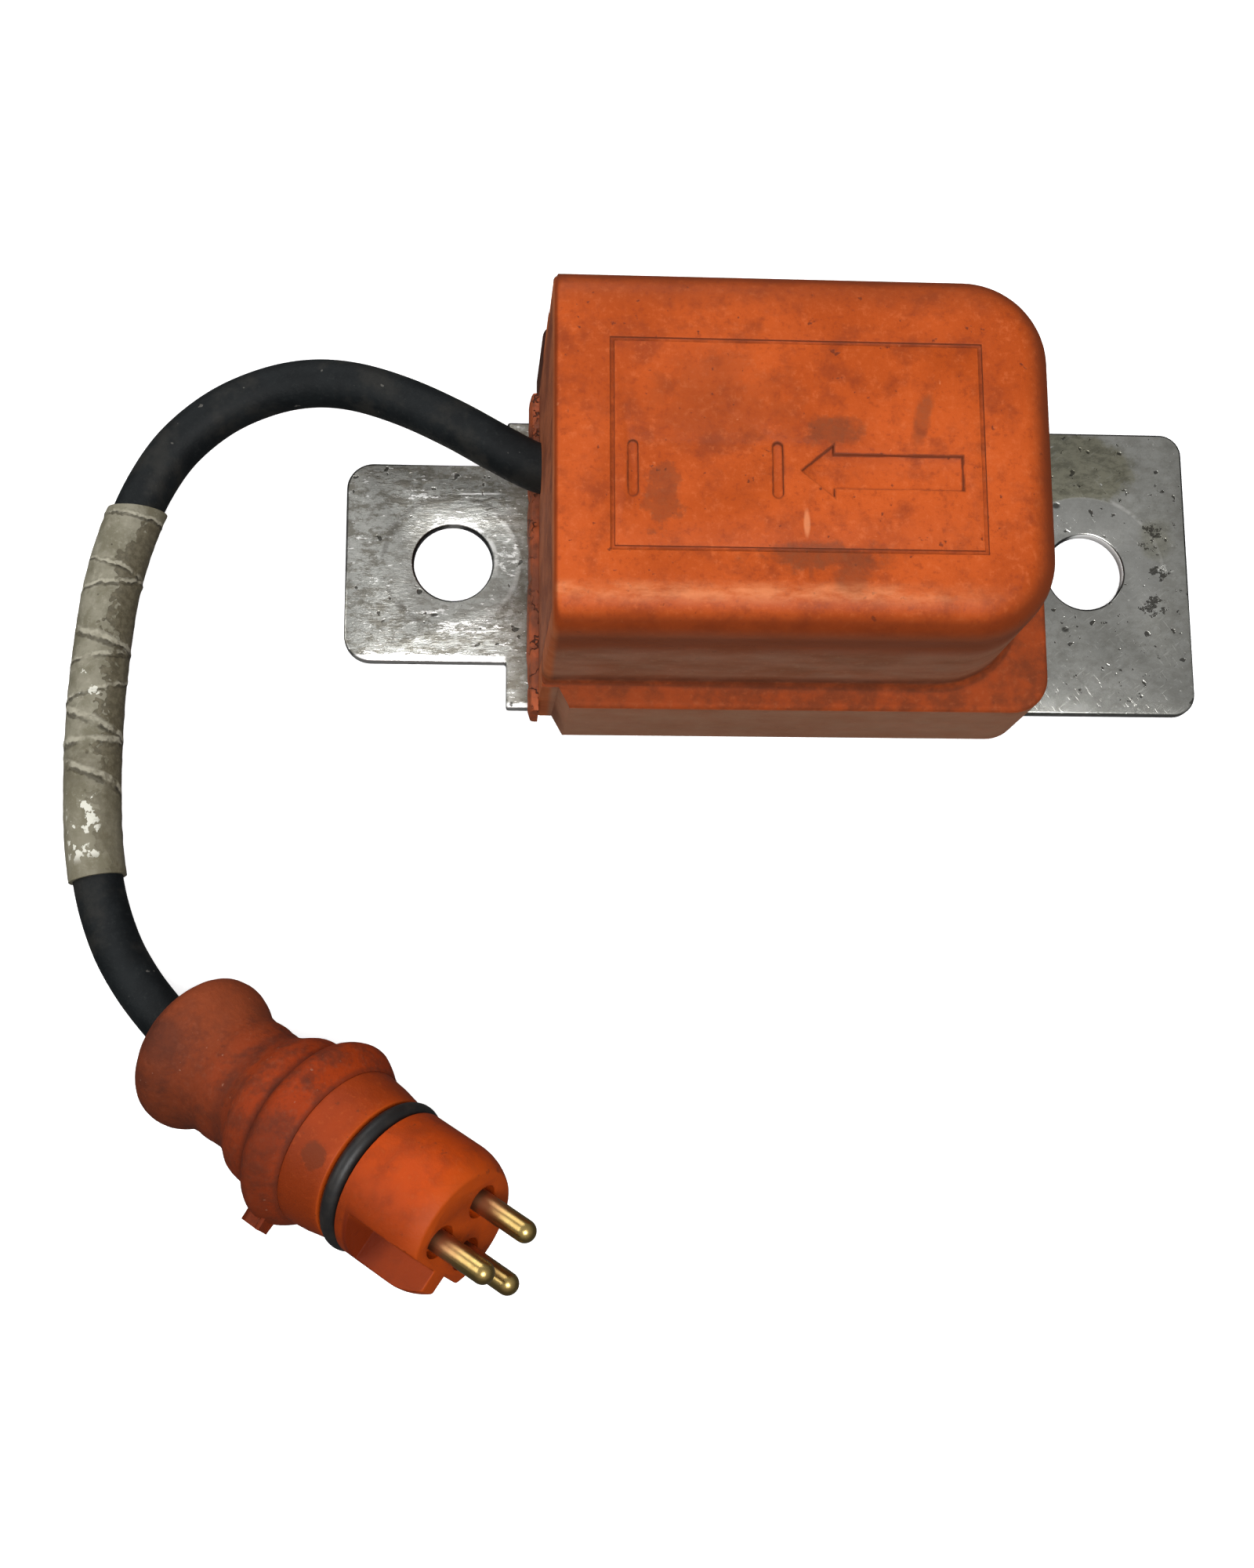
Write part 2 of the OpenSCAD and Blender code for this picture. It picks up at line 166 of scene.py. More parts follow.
# ---------------------------------------------------------------- patterns
def feed(tree, place, v):
    """Sets an input of a node to a number or colour, or links it to a Val."""
    if isinstance(v, Val):
        tree.links.new(v.socket, place)
    elif isinstance(v, tuple):
        place.default_value = (*v, 1)
    else:
        place.default_value = v


class Val:
    """A number that a node gives, so that a pattern can be written as a sum."""

    def __init__(self, tree, socket):
        self.tree, self.socket = tree, socket

    def math(self, op, *others):
        node = self.tree.nodes.new("ShaderNodeMath")
        node.operation = op
        for place, v in zip(node.inputs, (self, *others)):
            feed(self.tree, place, v)
        return Val(self.tree, node.outputs[0])

    def __add__(self, o):
        return self.math("ADD", o)

    def __sub__(self, o):
        return self.math("SUBTRACT", o)

    def __mul__(self, o):
        return self.math("MULTIPLY", o)

    def __rsub__(self, o):
        return (self * -1.0) + o

    def abs(self):
        return self.math("ABSOLUTE")

    def max(self, o):
        return self.math("MAXIMUM", o)

    def min(self, o):
        return self.math("MINIMUM", o)

    def step(self, low, high):
        """0 at low, 1 at high, with a smooth rise between. low may be the larger."""
        node = self.tree.nodes.new("ShaderNodeMapRange")
        node.interpolation_type = "SMOOTHSTEP"
        flip = low > high
        node.inputs[1].default_value, node.inputs[2].default_value = min(low, high), max(low, high)
        if flip:
            node.inputs[3].default_value, node.inputs[4].default_value = 1.0, 0.0
        self.tree.links.new(self.socket, node.inputs[0])
        return Val(self.tree, node.outputs[0])


def far(a, b):
    """Length of the step (a, b)."""
    return (a * a + b * b).math("SQRT")


class Paint:
    """One procedural material. Lengths in its patterns are millimetres."""

    def __init__(self, name):
        self.mat = bpy.data.materials.new(name)
        self.mat.use_nodes = True
        self.tree = self.mat.node_tree
        self.bsdf = self.tree.nodes["Principled BSDF"]
        coords = self.tree.nodes.new("ShaderNodeTexCoord")
        self.mm = self.scaled(coords.outputs["Object"], (1000, 1000, 1000))
        self.x, self.y, self.z = self.parts(self.mm)
        self.nx, self.ny, self.nz = self.parts(coords.outputs["Normal"])

    def parts(self, vector):
        node = self.tree.nodes.new("ShaderNodeSeparateXYZ")
        self.tree.links.new(vector, node.inputs[0])
        return [Val(self.tree, o) for o in node.outputs]

    def scaled(self, vector, by):
        node = self.tree.nodes.new("ShaderNodeVectorMath")
        node.operation = "MULTIPLY"
        self.tree.links.new(vector, node.inputs[0])
        node.inputs[1].default_value = by
        return node.outputs[0]

    def along(self, origin, way):
        """How far a point lies from origin in the direction way."""
        node = self.tree.nodes.new("ShaderNodeVectorMath")
        node.operation = "DOT_PRODUCT"
        self.tree.links.new(self.mm, node.inputs[0])
        node.inputs[1].default_value = way
        return Val(self.tree, node.outputs["Value"]) - Vector(origin).dot(Vector(way))

    def uv(self, name):
        node = self.tree.nodes.new("ShaderNodeUVMap")
        node.uv_map = name
        return self.parts(node.outputs[0])[:2]

    def joined(self, x, y, z):
        node = self.tree.nodes.new("ShaderNodeCombineXYZ")
        for place, v in zip(node.inputs, (x, y, z)):
            feed(self.tree, place, v)
        return node.outputs[0]

    def noise(self, per_mm, detail=3.0, rough=0.55, shape=(1, 1, 1), at=None, shift=0.0):
        """Cloudy noise from 0 to 1. shape stretches it: a small number makes it long that way."""
        node = self.tree.nodes.new("ShaderNodeTexNoise")
        vector = self.mm if at is None else at
        if shape != (1, 1, 1):
            vector = self.scaled(vector, shape)
        if shift:
            move = self.tree.nodes.new("ShaderNodeVectorMath")
            move.operation = "ADD"
            self.tree.links.new(vector, move.inputs[0])
            move.inputs[1].default_value = (shift, -shift, 2 * shift)
            vector = move.outputs[0]
        self.tree.links.new(vector, node.inputs["Vector"])
        node.inputs["Scale"].default_value = per_mm
        node.inputs["Detail"].default_value = detail
        node.inputs["Roughness"].default_value = rough
        return Val(self.tree, node.outputs[0])

    def mix(self, share, a, b):
        """Colour a where share is 0, b where it is 1."""
        node = self.tree.nodes.new("ShaderNodeMix")
        node.data_type = "RGBA"
        for place, v in ((node.inputs[0], share), (node.inputs[6], a), (node.inputs[7], b)):
            feed(self.tree, place, v)
        return Val(self.tree, node.outputs[2])

    def blot(self, cx, cy, rx, ry, ragged=0.5, turn=0.0, soft=0.35):
        """1 inside an uneven patch seen from above, 0 outside it."""
        c, s = math.cos(math.radians(turn)), math.sin(math.radians(turn))
        u = (self.x - cx) * (c / rx) + (self.y - cy) * (s / rx)
        v = (self.x - cx) * (-s / ry) + (self.y - cy) * (c / ry)
        return (far(u, v) + (self.noise(0.55, 5, 0.68) - 0.5) * (2 * ragged)).step(0.85 + soft, 0.85 - soft)

    def blots(self, *rows):
        """Several blots as one pattern. A row is a strength and then what blot takes."""
        found = None
        for strength, *shape in rows:
            one = self.blot(*shape) * strength
            found = one if found is None else found.max(one)
        return found

    def done(self, color, rough, relief=None, metal=0.0, gloss=0.5):
        """Sets the shader. relief is a height in millimetres."""
        feed(self.tree, self.bsdf.inputs["Base Color"], color)
        feed(self.tree, self.bsdf.inputs["Roughness"], rough)
        feed(self.tree, self.bsdf.inputs["Metallic"], metal)
        if relief is not None:
            bump = self.tree.nodes.new("ShaderNodeBump")
            bump.inputs["Strength"].default_value = 1.0
            bump.inputs["Distance"].default_value = MM
            self.tree.links.new(relief.socket, bump.inputs["Height"])
            self.tree.links.new(bump.outputs[0], self.bsdf.inputs["Normal"])
        self.bsdf.inputs["Specular IOR Level"].default_value = gloss
        return self.mat


# ---------------------------------------------------------------- the plug's own axes
PLUG_AT = Vector((-63.3, -53.5, 6.4))
TILT, TURN = math.radians(26.4), math.radians(33.9)
PLUG_AXIS = Vector((math.cos(TILT) * math.cos(TURN), -math.cos(TILT) * math.sin(TURN), math.sin(TILT)))
PLUG_TOP = Vector((-math.sin(TILT) * math.cos(TURN), math.sin(TILT) * math.sin(TURN), math.cos(TILT)))
PLUG_SIDE = Vector((-math.sin(TURN), -math.cos(TURN), 0))

# where the tape starts and ends, counted in points of the lead's route
TAPE_SPAN = (11.6, 17.7)
# folds in the tape: place along it, slant round it, and width, all as shares of its length
TAPE_FOLDS = ((0.035, 0.03, 0.004), (0.385, 0.10, 0.006), (0.43, -0.10, 0.004), (0.60, 0.17, 0.006),
              (0.655, -0.03, 0.006), (0.735, 0.18, 0.006), (0.19, 0.07, 0.004), (0.24, -0.12, 0.004),
              (0.52, -0.15, 0.004))


# ---------------------------------------------------------------- materials seen from outside
def orange_shell():
    """Moulded cover: deep orange on top, dulled and browned on its walls, with smudges and scuffs, a painted
    highlight along its front edge, and painted shade on its rounded edges, in its creases and along its
    marks.
    """
    p = Paint("orange_shell")
    x, y, z = p.x, p.y, p.z
    broad, mottle, fine = p.noise(0.07, 3), p.noise(0.26, 5, 0.66), p.noise(1.3, 5, 0.7)
    color = p.mix(broad.step(0.36, 0.64), (0.365, 0.056, 0.0062), (0.465, 0.077, 0.0110))
    color = p.mix(mottle.step(0.46, 0.70) * 0.7, color, (0.235, 0.037, 0.0078))
    color = p.mix(fine.step(0.50, 0.72) * 0.45, color, (0.56, 0.125, 0.034))
    color = p.mix(fine.step(0.46, 0.32) * 0.45, color, (0.22, 0.032, 0.0068))
    specks = p.noise(1.05, 3, 0.5, shift=17).step(0.69, 0.75)
    color = p.mix(specks * 0.75, color, (0.11, 0.022, 0.0095))
    # smudges on the top
    smudge = p.blots(
        (1.0, 1.6, 3.7, 2.9, 1.7, 1.1), (0.8, 10.5, 4.9, 0.9, 3.2, 0.7, -14), (1.0, 0.3, -9.2, 6.6, 1.6, 1.2),
        (0.75, -15.0, -3.4, 1.9, 3.6, 1.5, 0, 0.2), (0.35, -10.5, 9.0, 5.5, 3.2, 0.9, 30),
        (0.8, 3.0, -11.3, 2.0, 2.2, 1.0), (0.3, -9.5, 6.4, 8.5, 4.8, 1.2), (0.8, -0.9, -9.6, 0.4, 2.0, 0.5))
    color = p.mix(smudge * (fine * 0.9 + 0.08), color, (0.105, 0.034, 0.015))
    # pale scuffs mixed with a painted highlight where the top turns down to the front, and a few flecks
    edge = (y + 12.9).abs().step(1.5, 0.2) * z.step(33.4, 34.4) * x.step(22, 5)
    scuff_and_highlight = edge * (p.noise(0.5, 4, 0.7, shape=(0.5, 1.4, 1), shift=5).step(0.36, 0.70) * 0.8 + 0.2)
    fleck = p.blot(-1.2, -5.8, 0.35, 1.5, 0.2).max(p.noise(0.7, 3, 0.5, shift=41).step(0.73, 0.78) * 0.6)
    color = p.mix(scuff_and_highlight.max(fleck) * 0.5, color, (0.72, 0.27, 0.115))
    # dirt in and along the sunk marks, with painted shade on their upper and left edges
    ay = (y + 0.45).abs()
    head = (-1.6 - x).max((ay * 3.2 - (x + 1.6) * 2.65) * (1 / 4.155)).max(x - 1.6)
    arrow = head.min(((x - 7.6).abs() - 6.8).max(ay - 1.75))
    by = (ay - 2.35).max(0.0)
    left_bar, right_bar = far(x + 18.1, by) - 0.5, far(x + 3.9, by) - 0.5
    frame_line = ((x + 1.8).abs() - 18.3).max((y - 2.15).abs() - 10.7).abs() - 0.06
    # weights that put painted shade on the shaded sides of the marks
    upper = (y + 0.45).step(-1.9, 1.2).max(x.step(13.8, 14.3)) * 0.5 + 0.5
    line = (arrow - 0.02).abs().step(0.22, 0.03) * upper
    line = line.max((left_bar - 0.02).abs().step(0.22, 0.03) * (x.step(-17.4, -18.3) * 0.5 + 0.5))
    line = line.max((right_bar - 0.02).abs().step(0.22, 0.03) * (x.step(-3.2, -4.2) * 0.5 + 0.5))
    patchy = p.noise(0.45, 4, 0.65, shift=3).step(0.34, 0.60)
    line = line.max(frame_line.step(0.22, 0.08) * 0.55) * (patchy * 0.75 + 0.25) * z.step(33.8, 34.3)
    color = p.mix(line * 0.75, color, (0.078, 0.016, 0.005))
    # the rounded edges get painted shade, browner as they turn down to the walls; the right and back edges
    # are darker with wear, and with painted shade on the right
    turn = p.nz.step(0.93, 0.66) * z.step(28, 30)
    color = p.mix(turn * (mottle * 0.3 + 0.65), color, (0.150, 0.023, 0.0035))
    edge_wear_and_shade = (p.nx.step(0.12, 0.75) * z.step(28, 30)).max(y.step(15.2, 18.6) * z.step(28, 30) * 0.6)
    color = p.mix(edge_wear_and_shade * (mottle * 0.5 + 0.35), color, (0.17, 0.036, 0.011))
    # walls and flange: brown-grey dirt, rubbed in streaks along them
    wall = p.nz.step(0.60, 0.10)
    streak = p.noise(0.17, 5, 0.62, shape=(0.55, 0.55, 1.3), shift=9)
    dull = p.mix(streak.step(0.24, 0.76), (0.225, 0.086, 0.042), (0.335, 0.168, 0.106))
    dull = p.mix(fine.step(0.52, 0.72) * 0.35, dull, (0.40, 0.22, 0.14))
    dull = p.mix(z.step(13.6, 12.4) * (mottle * 0.5 + 0.15), dull, (0.47, 0.255, 0.155))
    # darker orange at the top of the walls and just above the ledge
    dull = p.mix(z.step(24.6, 29.0) * 0.8, dull, (0.205, 0.046, 0.0145))
    dull = p.mix(z.step(17.6, 14.6) * z.step(13.6, 14.4) * 0.5, dull, (0.205, 0.046, 0.0145))
    end_wall = p.mix(streak.step(0.36, 0.64), (0.36, 0.096, 0.032), (0.48, 0.145, 0.055))
    dull = p.mix(x.step(-25.0, -25.7), dull, end_wall)
    color = p.mix(wall * (mottle * 0.35 + 0.72), color, dull)
    # ledge: orange where it is rubbed, darker towards the left end, with painted shade in its corner with the
    # wall
    low = z.step(15.4, 13.4) * (1.0 - wall)
    shelf = p.mix(mottle.step(0.38, 0.62), (0.30, 0.050, 0.0105), (0.165, 0.036, 0.0120))
    shelf = p.mix(fine.step(0.52, 0.72) * 0.4, shelf, (0.36, 0.090, 0.034))
    shelf = p.mix(x.step(-9, -24) * 0.45, shelf, (0.120, 0.030, 0.0110))
    color = p.mix(low * 0.9, color, shelf)
    crease_shade = z.step(17.2, 14.2) * z.step(13.66, 13.90)
    crease_shade = crease_shade * (p.noise(0.5, 3, 0.6, shift=2).step(0.25, 0.6) * 0.5 + 0.5)
    color = p.mix(crease_shade * 0.7, color, (0.075, 0.020, 0.008))
    # painted shadow in the skirt's back left corner
    notch = x.step(-24.5, -25.2) * (y + mottle * 3).step(18.4, 20.8) * z.step(15.5, 14.0)
    color = p.mix(notch * 0.9, color, (0.020, 0.009, 0.007))
    dusty = (p.nz.step(0.93, 0.80) * (1.0 - wall)).max(low)
    rough = fine * 0.18 + mottle * 0.10 + 0.33 + wall * 0.20 + dusty * 0.30
    relief = fine * 0.045 + mottle * 0.09 - specks * 0.03 + p.noise(6.0, 2) * 0.010
    return p.done(color, rough, relief, gloss=0.13)


def zinc_steel():
    """Bright coated sheet, scratched and stained, worn round the bolt holes, with painted highlights and
    glints, and painted shade on its far edges.
    """
    p = Paint("zinc_steel")
    x, y, z = p.x, p.y, p.z
    cloud, grain = p.noise(0.16, 4, 0.6), p.noise(0.9, 5, 0.75, shape=(0.6, 1.2, 1))
    left, right = x.step(-20, -24), x.step(20, 24)
    color = p.mix(cloud.step(0.34, 0.66), (0.335, 0.334, 0.308), (0.410, 0.409, 0.380))
    color = p.mix(left * (y.step(-12, -3) * 0.16 + 0.16), color, (0.62, 0.62, 0.585))
    color = p.mix(grain.step(0.44, 0.60) * (left * 0.55 + 0.22), color, (0.15, 0.137, 0.108))
    crinkle = (p.noise(1.3, 3, 0.6, shape=(0.8, 1.1, 1), shift=53) - 0.5).abs().step(0.035, 0.0)
    color = p.mix(crinkle * left * 0.35, color, (0.085, 0.078, 0.062))
    # left tab: brown grime towards the cover, a seat worn round the hole, white flakes with painted glints, a
    # painted highlight inside the hole and a painted highlight along the front edge
    r = far(x + 36, y)
    grime = x.step(-32.5, -27.5).max(y.step(6.5, 12) * 0.55) * r.step(6.6, 7.6) * left
    grime = grime * (p.noise(0.6, 4, 0.7, shift=8).step(0.30, 0.55) * 0.8 + 0.2)
    color = p.mix(grime * 0.72, color, (0.165, 0.145, 0.115))
    arc = (r - 7.3).abs().step(0.42, 0.08) * x.step(-34, -31)
    arc = arc * p.noise(0.7, 3, 0.6, shift=33).step(0.36, 0.52)
    seat = r.step(7.3, 6.9) * left
    color = p.mix(seat * 0.35, color, (0.46, 0.46, 0.43))
    rimmed = (r - 7.75).abs().step(0.5, 0.1) * left * p.noise(0.5, 3, 0.6, shift=44).step(0.35, 0.6)
    color = p.mix(rimmed * 0.5, color, (0.12, 0.11, 0.095))
    flakes = p.noise(1.9, 4, 0.75, shape=(0.42, 1.5, 1), shift=21)
    zone = r.step(4.3, 4.6) * r.step(6.6, 5.4) * (x + 35).abs().step(4.6, 3.2) * y.step(2.5, 4.0)
    zone = zone.max(y.step(-9.3, -10.6) * x.step(-29.9, -30.3) * 0.8).max(p.blots(
        (1.0, -35.0, -7.4, 4.6, 1.0, 0.3), (1.0, -37.4, -5.9, 2.4, 0.7, 0.3),
        (0.9, -30.0, 0.6, 1.5, 2.6, 0.4), (0.9, -40.2, 7.9, 3.2, 0.9, 0.5),
        (0.8, -45.8, 2.7, 1.5, 0.9, 0.4))).max(0.12)
    flake_and_glint = (flakes + zone * 0.13).step(0.64, 0.69) * left
    streak = (y - 8.1 - (x + 34) * 0.02).abs().step(0.16, 0.04) * (x + 33.2).abs().step(2.6, 1.8)
    # painted highlight in a band and at the foot along the tab's front edge
    band = (y + (flakes - 0.5) * 1.6).step(-10.65, -10.9) * left * x.step(-29.9, -30.3)
    foot = (y + (flakes - 0.5) * 2.2).step(-16.0, -16.3) * left
    # painted highlight on the far wall inside the left hole
    hole_highlight = r.step(5.25, 4.85) * (y + (x + 36) * 0.7).step(1.2, 3.8)
    hole_highlight = hole_highlight * p.noise(0.7, 4, 0.7, shift=71).step(0.34, 0.50) * 0.75
    bright = flake_and_glint.max(hole_highlight).max(band).max(foot * 0.8).max(arc * 0.32).max(streak * 0.9)
    color = p.mix(bright, color, (0.96, 0.95, 0.92))
    # right tab: smooth washer seat, olive stain behind it, pits along its rim with painted glints by them,
    # hatched scratches
    q = far(x - 36, y)
    mealy = p.noise(0.8, 5, 0.75, shift=61)
    color = p.mix(mealy.step(0.5, 0.66) * right * 0.35, color, (0.20, 0.195, 0.175))
    color = p.mix(mealy.step(0.48, 0.34) * right * 0.30, color, (0.47, 0.47, 0.45))
    color = p.mix(q.step(9.0, 8.7) * right * (1.0 - y.step(-2, -8)) * 0.45, color, (0.34, 0.34, 0.325))
    rim = (q - 9.05).abs().step(0.35, 0.05) * y.step(-1, 3) * p.noise(0.5, 3, 0.6, shift=6).step(0.36, 0.5)
    color = p.mix(rim * right * 0.6, color, (0.62, 0.61, 0.58))
    stain = p.blot(33.2, 12.2, 10.6, 5.4, 0.22, soft=0.10) * q.step(8.75, 9.05) * right
    stain = stain.max(p.blot(44.4, 4.0, 2.2, 2.6, 0.6) * 0.6)
    olive = p.mix(grain.step(0.40, 0.62), (0.245, 0.235, 0.170), (0.140, 0.135, 0.095))
    color = p.mix(stain * 0.88, color, olive)
    pits = p.noise(1.1, 4, 0.65, shift=31)
    spot = p.blots((1.0, 44.6, 0.1, 1.6, 1.1, 0.4), (1.0, 44.0, -3.9, 1.9, 1.5, 0.5),
                   (0.8, 44.3, 4.2, 1.8, 2.2, 0.5))
    pit = (pits + spot * 0.16).step(0.655, 0.70) * right
    dots = p.noise(0.8, 2, 0.4, shift=12).step(0.70, 0.74).max(p.blots(
        (1.0, 33.0, 7.9, 0.5, 0.4, 0.1), (1.0, 33.4, -6.8, 0.45, 0.35, 0.1),
        (1.0, -38.0, -6.1, 0.5, 0.3, 0.1)))
    color = p.mix(pit.max(dots) * 0.85, color, (0.045, 0.042, 0.035))
    glint = p.noise(1.1, 4, 0.65, shift=35) + p.blot(45.0, 0.3, 1.2, 0.9, 0.3) * 0.2
    glint = glint.step(0.68, 0.72) * right
    turned = p.joined(x * 0.8 + y * 0.6, y * 0.8 - x * 0.6, 0.0)
    hatch = p.noise(1.0, 3, 0.6, shape=(0.45, 3.0, 1), shift=14, at=turned).step(0.60, 0.68)
    hatch = hatch.max(p.noise(1.0, 3, 0.6, shape=(3.0, 0.45, 1), shift=27, at=turned).step(0.62, 0.69))
    scratch = (y - 13.6 - (x - 29.5) * 0.42).abs().step(0.14, 0.03) * x.step(33.2, 32.6) * right
    # painted shade towards the front of the right tab
    color = p.mix(y.step(-5, -15) * (x.step(34, 24) * 0.30 + 0.20) * right, color, (0.15, 0.15, 0.14))
    rubbed_and_glint = (hatch * right * (y.step(2, -9) * 0.30 + 0.12)).max(scratch * 0.8).max(glint)
    color = p.mix(rubbed_and_glint, color, (0.58, 0.58, 0.54))
    # the sheet's edges: painted shade on those that face away, and a painted highlight on the far wall inside
    # the right hole
    rim_edge = p.nz.step(0.9, 0.5)
    away = (p.ny.max(p.nx.abs() * y.step(-8, 2) * 1.2)).step(0.10, 0.45)
    color = p.mix(away * 0.92, color, (0.018, 0.018, 0.017))
    inner = rim_edge * q.step(5.2, 4.9) * (p.nx * -0.7 - p.ny * 0.7).step(0.2, 0.6) * right
    color = p.mix(inner, color, (1.0, 1.0, 0.98))
    rough = cloud * 0.08 + grain * (left * 0.22 + 0.06) + 0.15 + grime * 0.2 + stain * 0.10
    relief = grain * (left * 0.028 + 0.004) + hatch * 0.003 - pit * 0.06 - dots * 0.04 + flakes * left * 0.04
    return p.done(color, rough, relief, metal=1.0 - inner)


def cable_black():
    """Matt black sheath with dust in patches and a few pale nicks."""
    p = Paint("cable_black")
    cloud, fine = p.noise(0.25, 4, 0.6), p.noise(2.0, 5, 0.7)
    color = p.mix(cloud.step(0.35, 0.7), (0.0018, 0.0032, 0.0040), (0.0052, 0.0072, 0.0082))
    color = p.mix(fine.step(0.54, 0.74) * 0.5, color, (0.020, 0.0225, 0.0215))
    color = p.mix(p.noise(0.16, 4, 0.65, shift=48).step(0.48, 0.64) * 0.75, color, (0.017, 0.0165, 0.0145))
    nick = p.noise(0.9, 2, 0.4, shift=11).step(0.735, 0.76)
    color = p.mix(nick * 0.7, color, (0.11, 0.105, 0.095))
    return p.done(color, cloud * 0.16 + fine * 0.16 + 0.44, fine * 0.04 + cloud * 0.08, gloss=0.20)


def aged_tape():
    """Old cloth-backed tape: grey-beige film, peeled to a darker backing on one side, creased with a painted
    highlight and a painted shadow line at each fold, and flecked.
    """
    p = Paint("aged_tape")
    s, v = p.uv("wrap")
    cloud, fine = p.noise(0.35, 5, 0.66), p.noise(1.6, 5, 0.7)
    jag = (p.noise(0.30, 3, 0.85, shift=4) - 0.5) * 0.50
    color = p.mix(cloud.step(0.38, 0.62), (0.140, 0.128, 0.085), (0.220, 0.205, 0.152))
    color = p.mix(fine.step(0.5, 0.72) * 0.4, color, (0.36, 0.34, 0.27))
    color = p.mix(s.step(0.55, 0.95) * 0.35, color, (0.145, 0.127, 0.078))
    peeled = (v + jag).step(0.300, 0.308) * s.step(0.03, 0.05) * (1.0 - s.step(0.70, 0.80) * 0.5)
    peeled = peeled.max((s + jag * 0.5).step(0.66, 0.70) * s.step(0.80, 0.72) * 0.5)
    backing = p.mix(fine.step(0.4, 0.6), (0.068, 0.057, 0.034), (0.112, 0.096, 0.060))
    color = p.mix(peeled * 0.85, color, backing)
    relief = fine * 0.05 + cloud * 0.10
    # each fold gets a painted highlight beside it and a painted shadow line in it
    for start, slope, width in TAPE_FOLDS:
        off = s - start - (v - 0.25) * slope + jag * 0.07
        there = p.noise(0.45, 3, 0.6, shift=start * 90).step(0.34, 0.54)
        dark = off.abs().step(width * 1.4, width * 0.3) * there
        light = (off + width * 2.2).abs().step(width * 2.2, width * 0.5) * there
        color = p.mix(light * 0.6, color, (0.42, 0.395, 0.31))
        color = p.mix(dark * 0.75, color, (0.050, 0.042, 0.026))
        relief = relief + light * 0.14 - dark * 0.10
    flecks = p.noise(0.70, 3, 0.62, shape=(1, 0.8, 1), shift=19)
    low = s.step(0.745, 0.78) * s.step(0.965, 0.93) * v.step(0.09, 0.13) * v.step(0.33, 0.29)
    paint = flecks.step(0.555, 0.58) * low
    high = s.step(0.43, 0.46) * s.step(0.58, 0.54) * v.step(0.14, 0.18) * v.step(0.32, 0.28)
    paint = paint.max((flecks + high * 0.1).step(0.70, 0.72) * high)
    color = p.mix(paint, color, (0.62, 0.61, 0.53))
    relief = relief - peeled * 0.07 + paint * 0.03
    return p.done(color, fine * 0.15 + 0.50 - paint * 0.1, relief, gloss=0.3)


def red_rubber():
    """Dirty red-brown boot, cleaner and redder towards its front ring, with painted shade in its valleys, on
    its underside and its lower side, and painted light on the top of its back end.
    """
    p = Paint("red_rubber")
    a = p.along(PLUG_AT, PLUG_AXIS)
    top, side = p.along(PLUG_AT, PLUG_TOP), p.along(PLUG_AT, PLUG_SIDE)
    broad, mottle, fine = p.noise(0.13, 3), p.noise(0.40, 5, 0.68), p.noise(1.7, 5, 0.7)
    color = p.mix((a + (broad - 0.5) * 9).step(5, 19), (0.185, 0.036, 0.0110), (0.290, 0.033, 0.0035))
    color = p.mix(mottle.step(0.42, 0.66) * 0.65, color, (0.085, 0.022, 0.0115))
    color = p.mix(fine.step(0.50, 0.70) * 0.40, color, (0.25, 0.067, 0.032))
    color = p.mix(fine.step(0.46, 0.32) * 0.35, color, (0.072, 0.018, 0.0095))
    patch = (far(a - 3.4, side - 1.2) + (mottle - 0.5) * 2.2).step(2.9, 1.6) * top.step(2, 5)
    color = p.mix(patch * 0.5, color, (0.060, 0.019, 0.012))
    # painted shade in the valleys between the rings
    valley_shade = (a - 18.0).abs().step(1.0, 0.1).max((a - 12.2).abs().step(1.3, 0.2) * 0.7)
    valley_shade = valley_shade.max((a - 23.0).abs().step(0.5, 0.1) * 0.8)
    color = p.mix(valley_shade * 0.55, color, (0.060, 0.016, 0.009))
    # painted shade on the surfaces that face down, and patches of dirt
    grime = (p.nz.step(0.6, -0.4) * 0.5).max(p.noise(0.3, 4, 0.6, shift=23).step(0.56, 0.72) * 0.5)
    color = p.mix(grime, color, (0.048, 0.017, 0.011))
    # painted shade on the boot's lower side and round the lower side of its front ring
    lower_side_shade = (side.step(-2.5, 6.0) * 0.5).max((a - 20.2).abs().step(3.0, 1.6) * side.step(-3, 4) * 0.62)
    color = p.mix(lower_side_shade, color, (0.080, 0.017, 0.0070))
    # painted light on the upper side of the boot's back end
    color = p.mix(side.step(0, -5) * a.step(10, 6) * 0.6, color, (0.27, 0.055, 0.018))
    nick = p.noise(1.6, 2, 0.4, shift=7).step(0.745, 0.765)
    color = p.mix(nick * 0.35, color, (0.40, 0.21, 0.14))
    relief = mottle * 0.14 + fine * 0.05 - patch * 0.12
    return p.done(color, fine * 0.12 + mottle * 0.1 + 0.58, relief, gloss=0.12)


